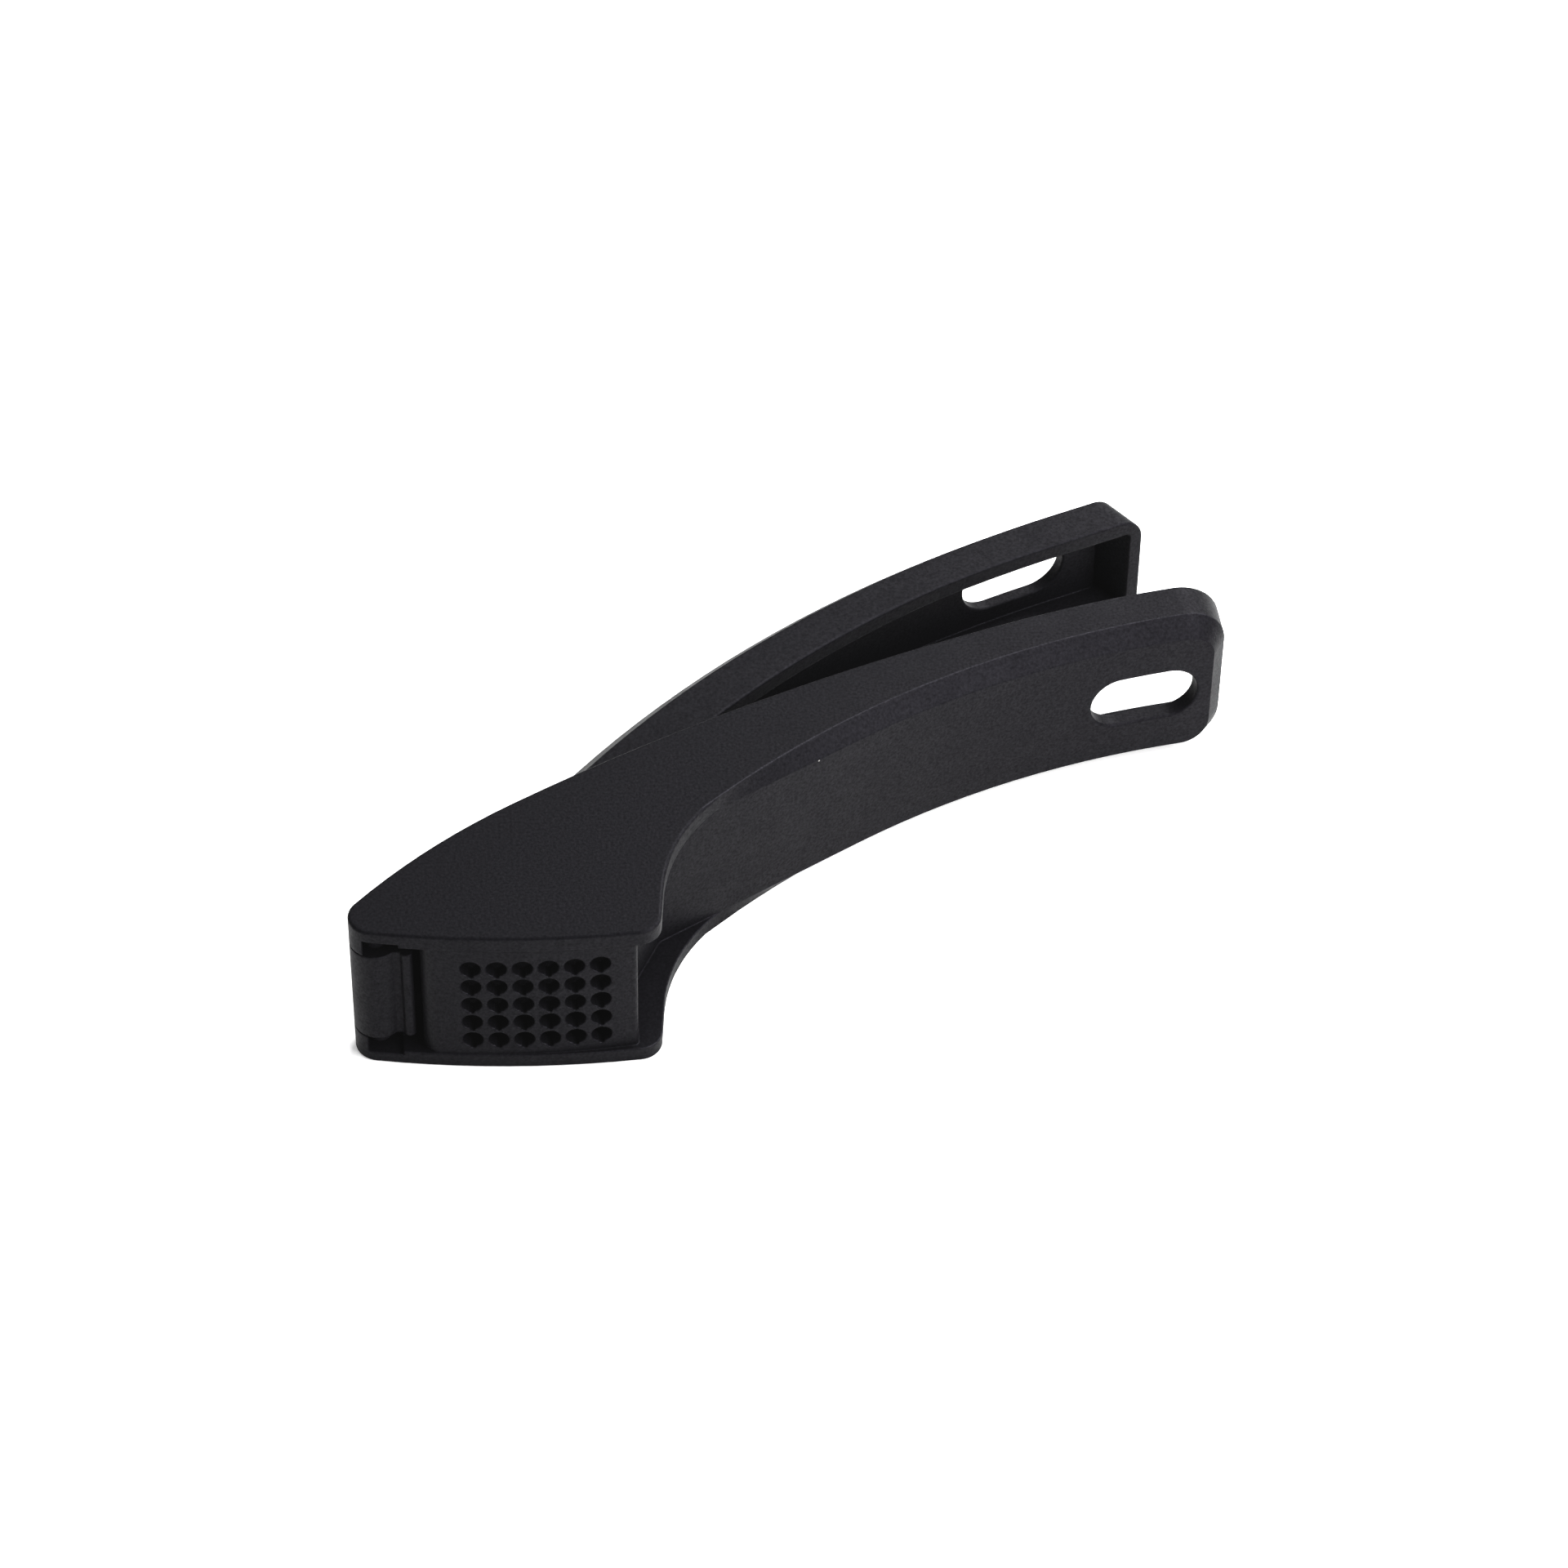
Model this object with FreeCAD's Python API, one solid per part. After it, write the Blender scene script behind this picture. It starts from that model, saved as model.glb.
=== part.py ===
"""Garlic press: two moulded channel levers on one hinge, with a presser foot between them.

Millimetres, +Z up along the hinge axis. The origin is on the hinge axis, on the flat side that the
press rests on. +X runs along the sieve plate from the hinge, +Y from the sieve to the chamber mouth.
The rear lever is modelled slightly open, OPENED degrees from its closed position.
"""
import FreeCAD, Part
import math
import os

V = FreeCAD.Vector

# ---- driving dimensions -------------------------------------------------------------------------
HEIGHT = 33.0            # front lever, across its two side plates
PLATE = 3.15             # thickness of every side plate and flange
WEB = 2.5                # thickness of webs and chamber walls
CHAMFER = 2.9            # how far a handle's broad face stands out from its side plates
FACE_STAND = 3.45        # the same at the end of the front handle
KNUCKLE_R = 4.4
KNUCKLE_H = 6.0          # height of each outer knuckle, plate included
PIN_R = 2.0
PIN_ROOF = 2.4           # material left over each end of the hinge pin
SOCKET_RIGHT = 4.1       # how far the open sockets reach past the hinge axis
RUNNING_FIT = 0.05
MIDDLE = HEIGHT / 2

REAR_LOW = 3.7           # rear lever nests between the side plates
REAR_HIGH = HEIGHT - REAR_LOW
REAR_DEPTH = 10.4        # rear handle, from its open rim to its broad back face
REAR_KNUCKLE_GAP = 0.3
OPENED = 7.6             # how far the rear lever stands open as modelled, degrees

HOLE_R = 1.85
HOLE_PITCH = 4.5
HOLE_COLUMNS = 6
HOLE_ROWS = 5
HOLES_LOW = 0.5          # the grid of holes sits this far below the middle
DRIP_R = 0.55            # small notch in the lower edge of every hole
DRIP_DROP = 1.75         # its centre, below the centre of the hole
SIEVE_CENTRE = V(27.5, 136.3, 0)
SIEVE_R = 143.1          # the sieve's outer face bulges slightly

EDGE_R = 0.5             # rounding of the side plates' edges
RIM_EDGE_R = 0.4
FRONT_SLOT = (20.5, 11.2)       # hanging slots: length and width
FRONT_SLOT_BACK = 6.8    # from the end of the curved handle back to the slot's centre
FRONT_SLOT_TURN = 3.3
REAR_SLOT = (21.3, 12.2)
REAR_SLOT_BACK = 8.9
REAR_SLOT_TURN = 2.7
SLOT_EDGE_R = 0.4

FRONT_END = 9.15         # straight end of the front handle
FRONT_END_DEPTH = 7.4    # between its line of chamfer and its open rim
FRONT_CORNER_R = 8.0
FRONT_RIM_END = 10.1     # the end face leans outwards to the rim
FRONT_RIM_CORNER_R = 9.2
REAR_END = 14.1
REAR_END_SLANT = 20.0    # the rear handle's end face leans away from square
REAR_CORNER_R = 4.2
REAR_RIM_CORNER_R = 5.0
END_WALL = 2.1
REAR_END_WALL = 2.7
END_BAND = 2.9           # width of the sloping band round a handle's end

PIVOT = V(27.0, 5.6, 0)  # presser foot pin, with the press closed
PIVOT_PIN_R = 1.5
PIVOT_BOSS_R = 3.3
FOOT_LEFT = 11.3
FOOT_RIGHT = 42.0
FOOT_THICK = 3.6
FOOT_CORNER_R = 0.6
FOOT_SIDE_GAP = 0.35
FOOT_SIEVE_GAP = 1.3     # with the press closed
FOOT_FACE_R = SIEVE_R - WEB - FOOT_SIEVE_GAP


# ---- helpers ------------------------------------------------------------------------------------
def polar(radius, degrees, z=0.0):
    angle = math.radians(degrees)
    return V(radius * math.cos(angle), radius * math.sin(angle), z)


def beside(point, heading, shift):
    """The point moved to the left of a heading."""
    return point + polar(shift, heading + 90)


def trace(start, heading, moves):
    """Tangent lines and arcs in plan: (length,) is a line, (radius, turn) an arc, left turns positive.

    Returns the edges, the last point and the last heading."""
    edges = []
    point = start
    for move in moves:
        if len(move) == 1:
            end = point + polar(move[0], heading)
            edges.append(Part.LineSegment(point, end).toShape())
        else:
            radius, turn = move
            side = math.copysign(90, turn)
            centre = point + polar(radius, heading + side)
            half = centre + polar(radius, heading - side + turn / 2)
            end = centre + polar(radius, heading - side + turn)
            edges.append(Part.Arc(point, half, end).toShape())
            heading += turn
        point = end
    return edges, point, heading


def widened(moves, shift):
    """The same moves on a line that runs shift further left."""
    wide = []
    for move in moves:
        if len(move) == 1:
            wide.append(move)
        else:
            wide.append((move[0] - shift * math.copysign(1, move[1]), move[1]))
    return wide


def joined(*points):
    return [Part.LineSegment(a, b).toShape() for a, b in zip(points, points[1:])]


def crossing(a, heading_a, b, heading_b):
    """Where two lines in plan meet."""
    across = math.radians(heading_b)
    gap = (b.x - a.x) * math.sin(across) - (b.y - a.y) * math.cos(across)
    return a + polar(gap / math.sin(math.radians(heading_b - heading_a)), heading_a)


def arc_to(start, end, radius):
    """The short arc between two points that turns right."""
    chord = end - start
    heading = math.degrees(math.atan2(chord.y, chord.x))
    bulge = radius - math.sqrt(radius ** 2 - (chord.Length / 2) ** 2)
    return Part.Arc(start, beside((start + end) / 2, heading, bulge), end).toShape()


def backwards(edges):
    return list(reversed(edges))


def prism(edges, low, high):
    face = Part.Face(Part.Wire(edges))
    face.translate(V(0, 0, low))
    return face.extrude(V(0, 0, high - low))


def banded(inner, outer, low, high, band):
    """A prism of the outer outline whose edges slope back to the inner outline over each band."""
    levels = [(inner, low), (outer, low + band), (outer, high - band), (inner, high)]
    wires = [Part.Wire(edges).translated(V(0, 0, z)) for edges, z in levels]
    return Part.makeLoft(wires, True, True)


def cylinder(radius, low, high, centre=V(0, 0, 0)):
    return Part.makeCylinder(radius, high - low, V(centre.x, centre.y, low))


def box(x, y, z):
    return Part.makeBox(x[1] - x[0], y[1] - y[0], z[1] - z[0], V(x[0], y[0], z[0]))


def end_outline(frame, depth, reach, corner, low):
    """A handle's end seen square on: a rectangle from the frame's origin, its far corners rounded."""
    point, heading = frame
    high = HEIGHT - low

    def at(along, z):
        return beside(point + polar(along, heading), heading, depth) + V(0, 0, z)

    slope = corner * (1 - math.sqrt(0.5))
    a, b = at(0, low), at(reach - corner, low)
    c, d = at(reach, low + corner), at(reach, high - corner)
    e, f = at(reach - corner, high), at(0, high)
    edges = joined(a, b)
    edges.append(Part.Arc(b, at(reach - slope, low + slope), c).toShape())
    edges += joined(c, d)
    edges.append(Part.Arc(d, at(reach - slope, high - slope), e).toShape())
    edges += joined(e, f, a)
    return Part.Wire(edges)


def rounded(solid, corners):
    """Rounds the upright edges of a prism that stand at the given places: (x, y, radius)."""
    for x, y, radius in corners:
        for edge in solid.Edges:
            ends = [vertex.Point for vertex in edge.Vertexes]
            near = all(math.hypot(end.x - x, end.y - y) < 0.1 for end in ends)
            if near and abs(ends[0].z - ends[-1].z) > 1:
                solid = solid.makeFillet(radius, [edge])
                break
    return solid


def eased(solid, radius, places):
    """Rounds the edge nearest to each place, and with it every edge that runs on smoothly from it."""
    edges = []
    for place in places:
        spot = Part.Vertex(place)
        edges.append(min(solid.Edges, key=lambda edge: edge.distToShape(spot)[0]))
    return solid.makeFillet(radius, edges)


def slot(end, back, turn, size):
    """A round-ended slot, cut square to the web, its centre back from the end of the curved handle."""
    depth = 2 * (CHAMFER + PAST)
    point, heading = end
    centre = point + polar(-back, heading)
    length, width = size
    half = (length - width) / 2
    bore = Part.makeCylinder(width / 2, depth, V(0, 0, 0), V(0, 1, 0))
    body = bore.translated(V(-half, 0, 0)).fuse(bore.translated(V(half, 0, 0)))
    body = body.fuse(box((-half, half), (0, depth), (-width / 2, width / 2)))
    body.translate(V(0, -depth / 2, 0))
    body.rotate(V(0, 0, 0), V(0, 0, 1), heading + turn)
    body.translate(V(centre.x, centre.y, MIDDLE))
    return body


def slot_edge(end, back, size, depth):
    """A point on a slot's lower edge, on the face of the web at the given depth."""
    point, heading = end
    return beside(point + polar(-back, heading), heading, depth) + V(0, 0, MIDDLE - size[1] / 2)


def opened(shape):
    """A shape drawn with the press closed, turned to where the rear lever stands."""
    return shape.rotated(V(0, 0, 0), V(0, 0, 1), OPENED)


def merged(first, *others):
    shape = first
    for other in others:
        shape = shape.fuse(other)
    return shape.removeSplitter()


# ---- plan outlines of the front lever -----------------------------------------------------------
BACK_TANGENT = 137.3     # where the back edge leaves the knuckle, degrees round the hinge
FRONT_TANGENT = 259.5
BACK_R = 425.1           # flat arc of the back edge, from the head well into the handle
BACK_END_R = 207.5
KNUCKLE_BACK = polar(KNUCKLE_R, BACK_TANGENT)
HANDLE_R = 173.9
HANDLE_REST = [(HANDLE_R, -19.2), (136.0, -2.7)]
MERGE_TURN = math.degrees(math.acos((HANDLE_R - CHAMFER) / HANDLE_R))
MERGE_LENGTH = HANDLE_R * math.sin(math.radians(MERGE_TURN))

head_front, SHOULDER, shoulder_heading = trace(KNUCKLE_BACK, BACK_TANGENT + 90, [
    (KNUCKLE_R, FRONT_TANGENT - BACK_TANGENT), (178.5, 15.0), (4.15, 79.8), (6.45,), (33.8, -42.8)])
head_back, SHOULDER_BACK, back_heading = trace(
    KNUCKLE_BACK, BACK_TANGENT - 90, [(124.5, -16.5), (BACK_R, -3.8)])

# The edge of the side plates runs on down the handle. The web meets it at the shoulder and then
# stands out from it, so the handle has a sloping band on each side of its broad face. The face is
# straight at first and then a single arc that ends parallel to the edge.
web_heading = shoulder_heading - MERGE_TURN
handle_line, FRONT_POINT, FRONT_HEADING = trace(
    SHOULDER, shoulder_heading, [(HANDLE_R, -MERGE_TURN)] + HANDLE_REST)
FACE_POINT = beside(FRONT_POINT, FRONT_HEADING, -FACE_STAND)
face_corner = crossing(SHOULDER, web_heading, FACE_POINT, FRONT_HEADING)
face_tangent = (FACE_POINT - face_corner).Length
face_turn = FRONT_HEADING - web_heading
FACE_R = face_tangent / math.tan(math.radians(-face_turn / 2))
handle_face = trace(SHOULDER, web_heading, [
    ((face_corner - SHOULDER).Length - face_tangent,),
    (FACE_R, face_turn - HANDLE_REST[1][1]),
    (FACE_R, HANDLE_REST[1][1])])[0]
FRONT_RIM = beside(FRONT_POINT, FRONT_HEADING, FRONT_END_DEPTH)
FRONT_FRAME = (FRONT_POINT, FRONT_HEADING)
handle_back, back_point, _ = trace(SHOULDER_BACK, back_heading, [(BACK_R, -11.3)])
handle_back.append(arc_to(back_point, FRONT_RIM, BACK_END_R))

# ---- plan outline of the rear lever -------------------------------------------------------------
REAR_START = polar(KNUCKLE_R, 130.15)
REAR_START_HEADING = 40.15
REAR_STRAIGHT = 28.0
REAR_BACK = [(REAR_STRAIGHT,), (164.4, 8.7), (217.9, -20.75), (270.3, -7.0)]
REAR_HEAD_DEPTH = 12.0
REAR_RIM = [(REAR_STRAIGHT,), (176.4, 9.5), (205.9, -21.0)]
REAR_RIM_END_R = 259.4


def rear_line(shift):
    """The rear lever's back line, moved shift towards its open side."""
    start = beside(REAR_START, REAR_START_HEADING, -shift)
    return trace(start, REAR_START_HEADING, widened(REAR_BACK, -shift))


rear_face, REAR_FACE_POINT, REAR_HEADING = rear_line(0)
rear_edge, REAR_POINT, _ = rear_line(CHAMFER)
REAR_FRAME = (REAR_POINT, REAR_HEADING)
REAR_RIM_POINT = beside(REAR_FACE_POINT, REAR_HEADING, -REAR_DEPTH)
REAR_RIM_START = beside(REAR_START, REAR_START_HEADING, -REAR_HEAD_DEPTH)
rear_rim, rim_point, _ = trace(REAR_RIM_START, REAR_START_HEADING, REAR_RIM)
rear_rim.append(arc_to(rim_point, REAR_RIM_POINT, REAR_RIM_END_R))


# ---- front lever --------------------------------------------------------------------------------
WALL_LEFT = 7.7          # outer face of the chamber wall beside the hinge
WALL_RIGHT = 45.2
WALL_END = 3.0           # that wall stops here, so that the rear lever can pass
WALL_TURN = V(WALL_RIGHT, 8.8, 0)    # here the wall away from the hinge turns outwards
WEB_TURN_X = 50.0        # and here it meets the web of the handle
KINK_R = 2.5
SIEVE_CORNER_R = (3.0, 0.8)     # outer corners of the sieve, beside the hinge and away from it
CHAMBER_CORNER_R = 1.0
BEYOND = 60.0            # well behind the whole lever
PAST = 2.0               # how far a cut runs past the surface it opens


def sieve_point(x, radius):
    return V(x, SIEVE_CENTRE.y - math.sqrt(radius ** 2 - (x - SIEVE_CENTRE.x) ** 2), 0)


def sieve_arc(left, right, radius):
    middle = sieve_point(SIEVE_CENTRE.x, radius)
    return Part.Arc(sieve_point(left, radius), middle, sieve_point(right, radius)).toShape()


def recess_corners(inset):
    """The two turns of the wall between sieve and handle, with the wall moved inwards."""
    web = crossing(WALL_TURN, 90, SHOULDER, web_heading)
    turned = crossing(V(WEB_TURN_X, 0, 0), 90, web, web_heading) - WALL_TURN
    slope = math.degrees(math.atan2(turned.y, turned.x))
    oblique = beside(WALL_TURN, slope, inset)
    near = crossing(beside(WALL_TURN, 90, inset), 90, oblique, slope)
    return near, crossing(oblique, slope, beside(SHOULDER, web_heading, inset), web_heading)


def head_walls():
    """Sieve plate, chamber walls and the web towards the handle, still solid inside."""
    left, right = sieve_point(WALL_LEFT, SIEVE_R), sieve_point(WALL_RIGHT, SIEVE_R)
    near, far = recess_corners(0)
    edges = [sieve_arc(WALL_LEFT, WALL_RIGHT, SIEVE_R)]
    edges += joined(right, near, far, SHOULDER, SHOULDER_BACK,
                    V(WALL_LEFT + WEB, WALL_END, 0), V(WALL_LEFT, WALL_END, 0), left)
    walls = prism(edges, PLATE, HEIGHT - PLATE)
    return rounded(walls, [(left.x, left.y, SIEVE_CORNER_R[0]), (right.x, right.y, SIEVE_CORNER_R[1]),
                           (near.x, near.y, KINK_R), (far.x, far.y, KINK_R)])


def front_cavity():
    """The chamber and the channel of the handle, open at the back."""
    left, right = WALL_LEFT + WEB, WALL_RIGHT - WEB
    inner = SIEVE_R - WEB
    near, far = recess_corners(WEB)
    tangent = beside(SHOULDER, web_heading, WEB) + polar(MERGE_LENGTH, web_heading)
    channel, end, heading = trace(tangent, web_heading, widened(HANDLE_REST, WEB - CHAMFER))
    away = beside(end, heading, BEYOND)
    corner = sieve_point(right, inner)
    edges = [sieve_arc(left, right, inner)] + joined(corner, near, far, tangent) + channel
    edges += joined(end, away, V(left, BEYOND, 0), sieve_point(left, inner))
    cavity = prism(edges, PLATE, HEIGHT - PLATE)
    start = sieve_point(left, inner)
    return rounded(cavity, [(start.x, start.y, CHAMBER_CORNER_R), (corner.x, corner.y, CHAMBER_CORNER_R),
                            (near.x, near.y, KINK_R + WEB), (far.x, far.y, KINK_R + WEB)])


def front_end():
    """The straight end of the handle, rounded seen from the front, with its band round the face."""
    face = end_outline(FRONT_FRAME, -FACE_STAND, FRONT_END - END_BAND, FRONT_CORNER_R - END_BAND, PLATE)
    line = end_outline(FRONT_FRAME, 0, FRONT_END, FRONT_CORNER_R, 0)
    rim = end_outline(FRONT_FRAME, FRONT_END_DEPTH, FRONT_RIM_END, FRONT_RIM_CORNER_R, 0)
    return Part.makeLoft([face, line, rim], True, True)


def front_end_cavity():
    reach = FRONT_END - END_WALL
    floor = end_outline(FRONT_FRAME, WEB - CHAMFER, reach, FRONT_CORNER_R - PLATE, PLATE)
    reach = FRONT_RIM_END - END_WALL
    mouth = end_outline(FRONT_FRAME, FRONT_END_DEPTH, reach, FRONT_RIM_CORNER_R - PLATE, PLATE)
    above = end_outline(FRONT_FRAME, FRONT_END_DEPTH + PAST, reach, FRONT_RIM_CORNER_R - PLATE, PLATE)
    return Part.makeLoft([floor, mouth, above], True, True)


def sieve_holes():
    holes = []
    depth = WEB + 2 * PAST
    for column in range(HOLE_COLUMNS):
        across = (column - (HOLE_COLUMNS - 1) / 2) * math.degrees(HOLE_PITCH / SIEVE_R)
        inward = polar(-1, across - 90)
        outside = SIEVE_CENTRE + polar(SIEVE_R + PAST, across - 90)
        for row in range(HOLE_ROWS):
            z = MIDDLE - HOLES_LOW + (row - (HOLE_ROWS - 1) / 2) * HOLE_PITCH
            holes.append(Part.makeCylinder(HOLE_R, depth, outside + V(0, 0, z), inward))
            holes.append(Part.makeCylinder(DRIP_R, depth, outside + V(0, 0, z - DRIP_DROP), inward))
    return holes


def pin_socket(low, high):
    """Bore for the hinge pin, open to the front and to the sieve's side."""
    bore_r = PIN_R + RUNNING_FIT
    mouth = box((-bore_r, SOCKET_RIGHT), (-2 * KNUCKLE_R, 0), (low, high))
    return cylinder(bore_r, low, high).fuse(mouth)


def chamber_lever():
    plate = head_front + joined(SHOULDER, SHOULDER_BACK) + backwards(head_back)
    rest = backwards(handle_back) + joined(SHOULDER_BACK, SHOULDER)
    line = handle_line + joined(FRONT_POINT, FRONT_RIM) + rest
    face = handle_face + joined(FACE_POINT, FRONT_RIM) + rest
    body = merged(
        prism(plate, 0, PLATE),
        prism(plate, HEIGHT - PLATE, HEIGHT),
        head_walls(),
        banded(line, face, 0, HEIGHT, PLATE),
        front_end(),
        cylinder(KNUCKLE_R, 0, KNUCKLE_H),
        cylinder(KNUCKLE_R, HEIGHT - KNUCKLE_H, HEIGHT))
    cuts = [
        front_cavity(),
        front_end_cavity(),
        slot(FRONT_FRAME, FRONT_SLOT_BACK, FRONT_SLOT_TURN, FRONT_SLOT),
        pin_socket(PIN_ROOF, KNUCKLE_H),
        pin_socket(HEIGHT - KNUCKLE_H, HEIGHT - PIN_ROOF)]
    body = body.cut(cuts + sieve_holes()).removeSplitter()
    front = sieve_point(SIEVE_CENTRE.x, SIEVE_R)
    body = eased(body, SLOT_EDGE_R, [slot_edge(FRONT_FRAME, FRONT_SLOT_BACK, FRONT_SLOT, -FACE_STAND)])
    return eased(body, EDGE_R, [front, front + V(0, 0, HEIGHT)])


# ---- rear lever ---------------------------------------------------------------------------------
KNUCKLE_CLEAR = 0.5      # round the front lever's knuckles
ARM_LOW = 1.0            # nothing of the arm lies in front of this, with the press closed
ARM_STEP_X = 3.7         # beyond here the arm passes over the chamber wall
ARM_STEP_LOW = 4.2
RIDGE_X = (4.4, 6.4)     # upright ridge between the knuckle and the chamber wall
RIDGE_Y = (-4.2, 8.4)
RIDGE_R = 0.95
RIDGE_WEB_Y = -3.2       # front of the web that joins the ridge to the knuckle
RIB_LOW = (8.6, 11.6)    # heights of the two ribs that hold the presser foot's pin
RIB_HIGH = (HEIGHT - 11.6, HEIGHT - 8.6)
RIB_ROOT = (V(35.0, 35.0, 0), V(19.0, 25.0, 0))


def rear_cavity(wall):
    """Everything in front of the web, between the flanges."""
    line, end, heading = rear_line(wall)
    start = beside(REAR_START, REAR_START_HEADING, -wall)
    near, far = beside(start, REAR_START_HEADING, -BEYOND), beside(end, heading, -BEYOND)
    return prism(line + joined(end, far, near, start), REAR_LOW + PLATE, REAR_HIGH - PLATE)


def rear_end():
    slant = math.tan(math.radians(REAR_END_SLANT))
    to_rim = REAR_DEPTH - CHAMFER
    at_line = REAR_END - to_rim * slant
    at_face = at_line - CHAMFER * slant - END_BAND
    rim = end_outline(REAR_FRAME, -to_rim, REAR_END, REAR_RIM_CORNER_R, REAR_LOW)
    line = end_outline(REAR_FRAME, 0, at_line, REAR_CORNER_R, REAR_LOW)
    face = end_outline(REAR_FRAME, CHAMFER, at_face, REAR_CORNER_R - END_BAND, REAR_LOW + PLATE)
    return Part.makeLoft([rim, line, face], True, True)


def rear_end_cavity():
    slant = math.tan(math.radians(REAR_END_SLANT))
    sides = []
    for depth in (CHAMFER - REAR_DEPTH - 1, CHAMFER - WEB):
        reach = REAR_END - REAR_END_WALL - (depth + REAR_DEPTH - CHAMFER) * slant
        sides.append(end_outline(REAR_FRAME, depth, reach, REAR_CORNER_R - PLATE, REAR_LOW + PLATE))
    return Part.makeLoft(sides, True, True)


def foot_rib(low, high):
    """One of the two ribs, drawn closed, that reach from the web to the presser foot's pin."""
    right, left = PIVOT + V(PIVOT_BOSS_R, 0, 0), PIVOT - V(PIVOT_BOSS_R, 0, 0)
    rib = prism(joined(right, *RIB_ROOT, left, right), low, high)
    return rib.fuse(cylinder(PIVOT_BOSS_R, low, high, PIVOT))


def plunger_lever():
    rest = backwards(rear_rim)
    line = rear_edge + joined(REAR_POINT, REAR_RIM_POINT) + rest
    line += joined(REAR_RIM_START, beside(REAR_START, REAR_START_HEADING, -CHAMFER))
    face = rear_face + joined(REAR_FACE_POINT, REAR_RIM_POINT) + rest
    face += joined(REAR_RIM_START, REAR_START)
    body = banded(line, face, REAR_LOW, REAR_HIGH, PLATE).fuse(rear_end())
    body = body.cut([rear_cavity(WEB), rear_end_cavity()])
    low = KNUCKLE_H + REAR_KNUCKLE_GAP
    body = body.cut([
        opened(box((-BEYOND, BEYOND), (-BEYOND, ARM_LOW), (0, HEIGHT))),
        opened(box((ARM_STEP_X, BEYOND), (-BEYOND, ARM_STEP_LOW), (0, HEIGHT))),
        cylinder(KNUCKLE_R + KNUCKLE_CLEAR, 0, low),
        cylinder(KNUCKLE_R + KNUCKLE_CLEAR, HEIGHT - low, HEIGHT)])
    knuckle = cylinder(KNUCKLE_R, low, HEIGHT - low)
    ridge = box(RIDGE_X, RIDGE_Y, (low, HEIGHT - low))
    ridge = rounded(ridge, [(x, RIDGE_Y[0], RIDGE_R) for x in RIDGE_X])
    ridge_web = box((0, RIDGE_X[1] - RIDGE_R), (RIDGE_WEB_Y, 0), (low, HEIGHT - low))
    inside = rear_cavity(WEB / 2)
    ribs = [opened(foot_rib(*span)).common(inside) for span in (RIB_LOW, RIB_HIGH)]
    body = merged(body, knuckle, ridge, ridge_web, *ribs)
    pivot = opened(cylinder(PIVOT_PIN_R, RIB_LOW[0], RIB_HIGH[1], PIVOT))
    body = body.cut([
        slot(REAR_FRAME, REAR_SLOT_BACK, REAR_SLOT_TURN, REAR_SLOT),
        cylinder(PIN_R, low, HEIGHT - low),
        pivot]).removeSplitter()
    faces = (CHAMFER, CHAMFER - WEB)
    edges = [slot_edge(REAR_FRAME, REAR_SLOT_BACK, REAR_SLOT, depth) for depth in faces]
    body = eased(body, SLOT_EDGE_R, edges)
    rim = (rim_point + REAR_RIM_POINT) / 2
    return eased(body, RIM_EDGE_R, [rim + V(0, 0, REAR_LOW), rim + V(0, 0, REAR_HIGH)])


# ---- presser foot and pins ----------------------------------------------------------------------
LUG_LOW = (12.0, 14.8)   # heights of the foot's two lugs, between the ribs
LUG_HIGH = (HEIGHT - 14.8, HEIGHT - 12.0)
LUG_HALF = 7.0           # half the width of a lug's base
LUG_BOSS_R = 3.0
PIN_CHAMFER = 0.3
PIN_END_GAP = 0.1


def plunger():
    left, right = sieve_point(FOOT_LEFT, FOOT_FACE_R), sieve_point(FOOT_RIGHT, FOOT_FACE_R)
    back = sieve_point(SIEVE_CENTRE.x, FOOT_FACE_R).y + FOOT_THICK
    edges = [sieve_arc(FOOT_LEFT, FOOT_RIGHT, FOOT_FACE_R)]
    edges += joined(right, V(FOOT_RIGHT, back, 0), V(FOOT_LEFT, back, 0), left)
    body = prism(edges, PLATE + FOOT_SIDE_GAP, HEIGHT - PLATE - FOOT_SIDE_GAP)
    foot = rounded(body, [(left.x, left.y, FOOT_CORNER_R), (right.x, right.y, FOOT_CORNER_R)])
    base = V(PIVOT.x, back - FOOT_THICK / 2, 0)
    boss, spread = V(LUG_BOSS_R, 0, 0), V(LUG_HALF, 0, 0)
    for low, high in (LUG_LOW, LUG_HIGH):
        lug = joined(base - spread, base + spread, PIVOT + boss, PIVOT - boss, base - spread)
        foot = foot.fuse([prism(lug, low, high), cylinder(LUG_BOSS_R, low, high, PIVOT)])
    return opened(foot.cut(cylinder(PIVOT_PIN_R + RUNNING_FIT, 0, HEIGHT, PIVOT)).removeSplitter())


def pin(radius, low, high):
    body = cylinder(radius, low, high)
    ends = [edge for edge in body.Edges if abs(edge.Length - 2 * math.pi * radius) < 0.01]
    return body.makeChamfer(PIN_CHAMFER, ends)


def hinge_pin():
    return pin(PIN_R, PIN_ROOF + PIN_END_GAP, HEIGHT - PIN_ROOF - PIN_END_GAP)


def plunger_pin():
    return opened(pin(PIVOT_PIN_R, RIB_LOW[0], RIB_HIGH[1]).translated(PIVOT))


os.makedirs("parts", exist_ok=True)
for build in (chamber_lever, plunger_lever, plunger, hinge_pin, plunger_pin):
    shape = build()
    solid = shape.Solids[0]
    print(build.__name__, len(shape.Solids), solid.isValid(), round(solid.Volume), solid.BoundBox)
    solid.exportStep(f"parts/{build.__name__}.step")
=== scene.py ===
"""Looks of the garlic press: dark fibre-filled plastic, grained, with painted highlights on its edges and
painted shade in its hollows, on a pale floor.
"""
import math

import bpy
from mathutils import Matrix, Vector

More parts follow.
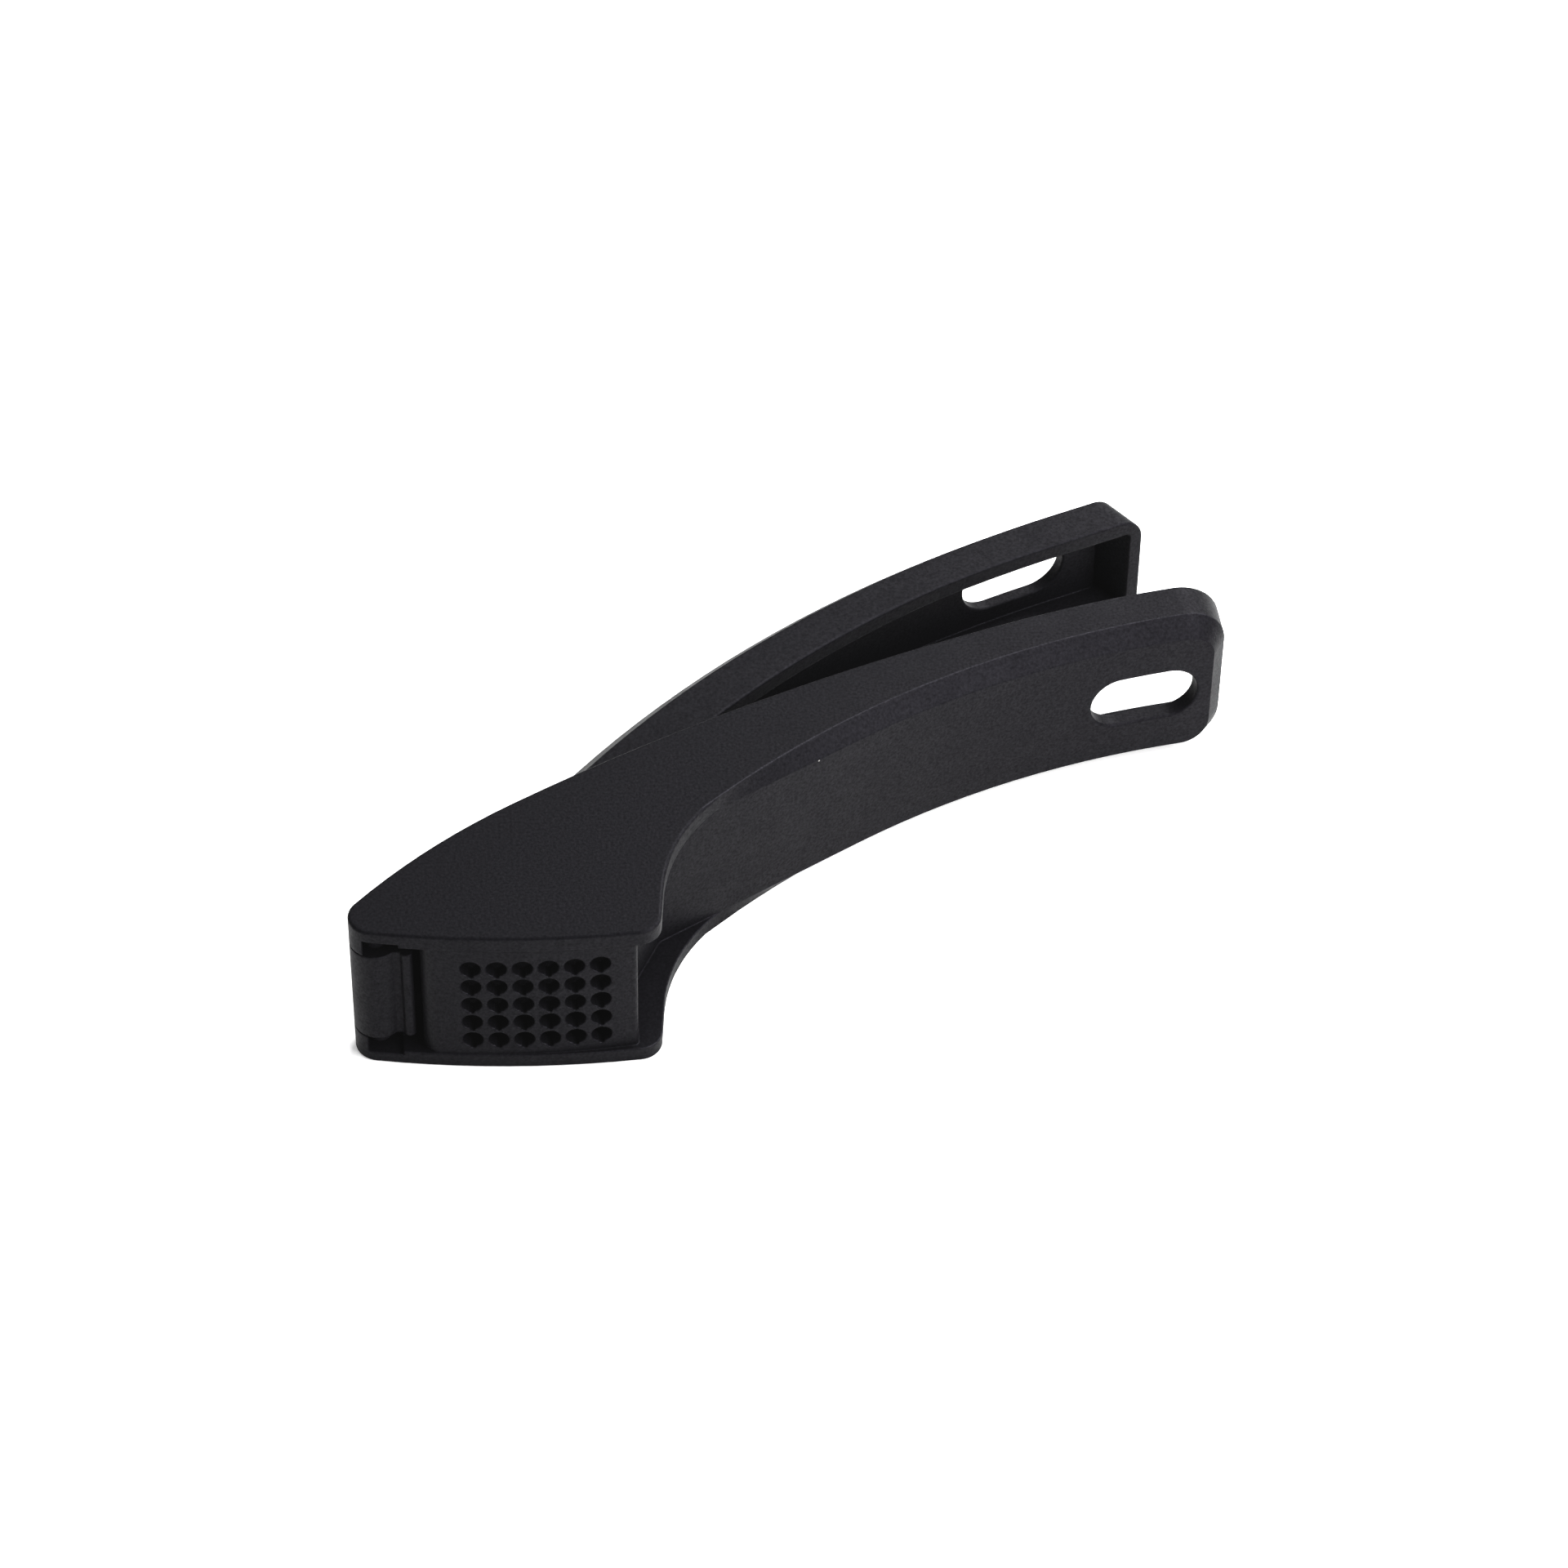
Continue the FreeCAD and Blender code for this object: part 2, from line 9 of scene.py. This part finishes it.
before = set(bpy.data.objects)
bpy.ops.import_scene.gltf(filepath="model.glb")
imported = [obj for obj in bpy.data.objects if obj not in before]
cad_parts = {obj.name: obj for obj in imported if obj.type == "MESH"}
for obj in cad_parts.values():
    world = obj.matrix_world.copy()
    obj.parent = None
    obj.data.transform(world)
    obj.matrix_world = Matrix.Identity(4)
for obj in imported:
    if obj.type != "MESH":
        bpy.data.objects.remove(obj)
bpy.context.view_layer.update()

MM = 0.001

# ---- camera: the photograph's view ---------------------------------------------------------------
CAMERA_AT = Vector((0.01988, -0.6434, 0.7170))
CAMERA_AZIMUTH = math.radians(4.5)      # looks this far to the right of +Y
CAMERA_ELEVATION = math.radians(45.467)
CAMERA_ROLL = math.radians(0.888)
CAMERA_LENS = 125.09
SENSOR_WIDTH = 36.0
VEIL = 0.004                            # stray light that the camera adds to the darkest parts

# ---- plastic --------------------------------------------------------------------------------------
LEVER_COLOUR = (0.0024, 0.0023, 0.0030)
FOOT_COLOUR = (0.0020, 0.0019, 0.0025)
PIN_COLOUR = (0.0060, 0.0057, 0.0072)
DUST_COLOUR = (0.55, 0.54, 0.52)
SHEEN = (0.87, 0.84, 1.0)               # cool tint of the surface reflection
SHEEN_LEVEL = 0.050                     # strength of that reflection on a plain stretch
IOR = 1.5
GRAIN_SCALE = 2000.0                    # noise scales, per metre
LUMP_SCALE = 900.0
MOTTLE_SCALE = 140.0
FLOW_SCALE = 22.0
DUST_SCALE = 150.0
EDGE_RADIUS = 0.45 * MM                 # an edge is shaded as if rounded by this
HOLLOW_REACH = 3 * MM                   # a wall nearer than this darkens a surface: painted shade in hollows
BUMP_DEPTH = 0.05 * MM
BUMP_STRENGTH = 0.5

# ---- floor and light ------------------------------------------------------------------------------
FLOOR_HALF = 3.0
FLOOR_COLOUR = (0.93, 0.93, 0.93)
FLOOR_ROUGHNESS = 0.9
FLOOR_GLOW = 0.4
WORLD_LIGHT = 0.20
WHITE = (1, 1, 1)
CENTRE = (0.07, 0.04, 0.02)             # near the middle of the press
SOFTBOXES = (                           # name, place, target, size, watts
    ("back", (0.80, 1.2, 1.1), CENTRE, (1.0, 0.9), 44.0),
    ("front_right", (0.8, -0.6, 0.6), CENTRE, (0.6, 0.6), 14.0),
    ("right", (0.45, 0.0, 0.55), (0.35, 0.0, 0.0), (0.5, 0.5), 3.5),
    ("right_near", (0.30, 0.0, 0.30), (0.25, 0.02, 0.0), (0.2, 0.2), 1.2),
)


# ---- shader nodes ---------------------------------------------------------------------------------
def node(tree, kind, inputs=None, **settings):
    """A new shader node; inputs are values or links by socket name."""
    new = tree.nodes.new(kind)
    for name, value in settings.items():
        setattr(new, name, value)
    for name, value in (inputs or {}).items():
        if isinstance(value, bpy.types.NodeSocket):
            tree.links.new(value, new.inputs[name])
        else:
            new.inputs[name].default_value = value
    return new


def noise(tree, where, scale, detail, roughness=0.5):
    return node(tree, "ShaderNodeTexNoise", {
        "Vector": where, "Scale": scale, "Detail": detail, "Roughness": roughness}).outputs["Fac"]


def mapped(tree, value, low, high, to_low, to_high):
    """The value's range from low to high, stretched to the new range and held at its ends."""
    return node(tree, "ShaderNodeMapRange", {
        "Value": value, "From Min": low, "From Max": high,
        "To Min": to_low, "To Max": to_high}).outputs["Result"]


def math_node(tree, operation, a, b):
    return node(tree, "ShaderNodeMath", {0: a, 1: b}, operation=operation).outputs[0]


def mixed(tree, factor, a, b):
    """Colour a where the factor is 0, and colour b where it is 1."""
    mix = node(tree, "ShaderNodeMix", data_type="RGBA")
    tree.links.new(factor, mix.inputs[0])
    for socket, value in ((mix.inputs[6], a), (mix.inputs[7], b)):
        if isinstance(value, bpy.types.NodeSocket):
            tree.links.new(value, socket)
        else:
            socket.default_value = (*value, 1.0)
    return mix.outputs[2]


def scaled(colour, factor):
    return tuple(channel * factor for channel in colour)


# ---- plastic --------------------------------------------------------------------------------------
def grained(tree, colour, fine, mottle, flow):
    """The plastic's own colour: grain, blended with mottling where the melt flowed."""
    grain = mixed(tree, mapped(tree, fine, 0.3, 0.7, 0.0, 1.0), scaled(colour, 0.72), scaled(colour, 1.45))
    mottling = mixed(tree, mapped(tree, mottle, 0.35, 0.65, 0.0, 1.0), scaled(colour, 0.9), colour)
    return mixed(tree, mapped(tree, flow, 0.3, 0.7, 0.35, 0.6), grain, mottling)


def painted_edge_mask(tree, edge, mottle):
    """Mask of the painted edge highlight: from 0 on a flat face to 1 on an edge, where the rounded normal
    leaves the true one.
    """
    true_normal = node(tree, "ShaderNodeNewGeometry").outputs["Normal"]
    turned = node(tree, "ShaderNodeVectorMath", {0: edge, 1: true_normal}, operation="DOT_PRODUCT")
    painted_edge_light = mapped(tree, turned.outputs["Value"], 0.995, 0.90, 0.0, 1.0)
    return math_node(tree, "MULTIPLY", painted_edge_light, mapped(tree, mottle, 0.4, 0.6, 0.6, 1.0))


def sheen_level(tree, fine, edge, painted_edge_light):
    """Strength of the reflection: uneven with the grain, raised on upward-facing edges as a painted
    highlight, lowered on downward-facing edges and in hollows as painted shade.
    """
    upward = node(tree, "ShaderNodeSeparateXYZ", {"Vector": edge}).outputs["Z"]
    # painted highlight on upward-facing edges, painted shade on downward-facing ones
    painted_edge_gain = math_node(tree, "MULTIPLY", painted_edge_light, mapped(tree, upward, 0.45, 0.65, -0.8, 4.0))
    painted_edge_gain = math_node(tree, "ADD", painted_edge_gain, 1.0)
    # painted shade: the reflection is weakened where a wall is near, in holes, gaps and creases
    hollow = node(tree, "ShaderNodeAmbientOcclusion", {"Distance": HOLLOW_REACH}, samples=4).outputs["AO"]
    sheen = math_node(tree, "MULTIPLY", mapped(tree, fine, 0.3, 0.7, 0.5, 1.5), painted_edge_gain)
    sheen = math_node(tree, "MULTIPLY", sheen, mapped(tree, hollow, 0.4, 0.85, 0.15, 1.0))
    return math_node(tree, "MULTIPLY", sheen, SHEEN_LEVEL)


def dusted(tree, where, base):
    """A small pale speck at the middle of about one cell in eight."""
    cells = node(tree, "ShaderNodeTexVoronoi", {"Vector": where, "Scale": DUST_SCALE, "Randomness": 1.0})
    speck = mapped(tree, cells.outputs["Distance"], 0.035, 0.02, 0.0, 0.5)
    few = node(tree, "ShaderNodeSeparateColor", {"Color": cells.outputs["Color"]}).outputs["Red"]
    chosen = math_node(tree, "GREATER_THAN", few, 0.88)
    return mixed(tree, math_node(tree, "MULTIPLY", speck, chosen), base, DUST_COLOUR)


def plastic(name, colour, grain=1.0, dust=True, rough=(0.46, 0.55)):
    """Moulded glass-filled nylon: fine spark-eroded grain, faint flow mottling, edges painted paler as a
    painted highlight, dust.
    """
    material = bpy.data.materials.new(name)
    material.use_nodes = True
    tree = material.node_tree
    tree.nodes.clear()
    where = node(tree, "ShaderNodeTexCoord").outputs["Object"]
    fine = noise(tree, where, GRAIN_SCALE, 3.0, 0.6)
    mottle = noise(tree, where, MOTTLE_SCALE, 4.0, 0.55)
    flow = noise(tree, where, FLOW_SCALE, 2.0)
    edge = node(tree, "ShaderNodeBevel", {"Radius": EDGE_RADIUS}, samples=6).outputs["Normal"]
    painted_edge_light = painted_edge_mask(tree, edge, mottle)
    base = grained(tree, colour, fine, mottle, flow)
    # painted highlight: edges and creases are lightened toward three times the plastic's colour
    base = mixed(tree, math_node(tree, "MULTIPLY", painted_edge_light, 0.3), base, scaled(colour, 3.0))
    if dust:
        base = dusted(tree, where, base)
    lumps = noise(tree, where, LUMP_SCALE, 2.0)
    bump = node(tree, "ShaderNodeBump", {
        "Strength": BUMP_STRENGTH * grain, "Distance": BUMP_DEPTH,
        "Height": math_node(tree, "ADD", fine, lumps), "Normal": edge})
    shader = node(tree, "ShaderNodeBsdfPrincipled", {
        "Base Color": base, "Roughness": mapped(tree, mottle, 0.3, 0.7, *rough),
        "Specular IOR Level": sheen_level(tree, fine, edge, painted_edge_light), "Normal": bump.outputs["Normal"]})
    shader.inputs["IOR"].default_value = IOR
    shader.inputs["Specular Tint"].default_value = (*SHEEN, 1.0)
    output = node(tree, "ShaderNodeOutputMaterial")
    tree.links.new(shader.outputs["BSDF"], output.inputs["Surface"])
    return material


def paint(name, material):
    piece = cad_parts[name]
    piece.data.materials.clear()
    piece.data.materials.append(material)


def press():
    """The press is all CAD nodes: two levers alike, the foot, and two smoother pins."""
    lever_plastic = plastic("lever_plastic", LEVER_COLOUR)
    foot_plastic = plastic("foot_plastic", FOOT_COLOUR, dust=False)
    pin_plastic = plastic("pin_plastic", PIN_COLOUR, grain=0.5, dust=False, rough=(0.3, 0.42))
    for lever in ("chamber_lever", "plunger_lever"):
        paint(lever, lever_plastic)
    paint("plunger", foot_plastic)
    for pin in ("hinge_pin", "plunger_pin"):
        paint(pin, pin_plastic)


# ---- floor, light and camera ----------------------------------------------------------------------
def floor():
    mesh = bpy.data.meshes.new("floor")
    corners = [(x * FLOOR_HALF, y * FLOOR_HALF, 0) for x, y in ((-1, -1), (1, -1), (1, 1), (-1, 1))]
    mesh.from_pydata(corners, [], [(0, 1, 2, 3)])
    piece = bpy.data.objects.new("floor", mesh)
    bpy.context.scene.collection.objects.link(piece)
    material = bpy.data.materials.new("floor_paper")
    material.use_nodes = True
    shader = material.node_tree.nodes["Principled BSDF"]
    shader.inputs["Base Color"].default_value = (*FLOOR_COLOUR, 1)
    shader.inputs["Roughness"].default_value = FLOOR_ROUGHNESS
    shader.inputs["Emission Color"].default_value = (*WHITE, 1)
    shader.inputs["Emission Strength"].default_value = FLOOR_GLOW
    mesh.materials.append(material)


def softbox(name, place, target, size, power):
    light = bpy.data.lights.new(name, "AREA")
    light.shape = "RECTANGLE"
    light.size, light.size_y = size
    light.energy = power
    piece = bpy.data.objects.new(name, light)
    piece.location = place
    piece.rotation_euler = (Vector(target) - Vector(place)).to_track_quat("-Z", "Y").to_euler()
    bpy.context.scene.collection.objects.link(piece)


def studio():
    """Even light from all round, the softboxes, and the camera's plain picture with its veil."""
    for one in SOFTBOXES:
        softbox(*one)
    world = bpy.data.worlds.new("studio")
    world.use_nodes = True
    background = world.node_tree.nodes["Background"]
    background.inputs["Color"].default_value = (*WHITE, 1)
    background.inputs["Strength"].default_value = WORLD_LIGHT
    bpy.context.scene.world = world
    view = bpy.context.scene.view_settings
    view.view_transform = "Standard"
    view.use_curve_mapping = True
    view.curve_mapping.black_level = (-VEIL, -VEIL, -VEIL)
    view.curve_mapping.update()


def camera():
    forward = Vector((
        math.sin(CAMERA_AZIMUTH) * math.cos(CAMERA_ELEVATION),
        math.cos(CAMERA_AZIMUTH) * math.cos(CAMERA_ELEVATION),
        -math.sin(CAMERA_ELEVATION)))
    level = Vector((math.cos(CAMERA_AZIMUTH), -math.sin(CAMERA_AZIMUTH), 0))
    upright = level.cross(forward)
    right = level * math.cos(CAMERA_ROLL) + upright * math.sin(CAMERA_ROLL)
    up = upright * math.cos(CAMERA_ROLL) - level * math.sin(CAMERA_ROLL)
    data = bpy.data.cameras.new("camera")
    data.sensor_width = SENSOR_WIDTH
    data.lens = CAMERA_LENS
    piece = bpy.data.objects.new("camera", data)
    rotation = Matrix((right, up, -forward)).transposed().to_4x4()
    piece.matrix_world = Matrix.Translation(CAMERA_AT) @ rotation
    bpy.context.scene.collection.objects.link(piece)
    bpy.context.scene.camera = piece


press()
floor()
studio()
camera()
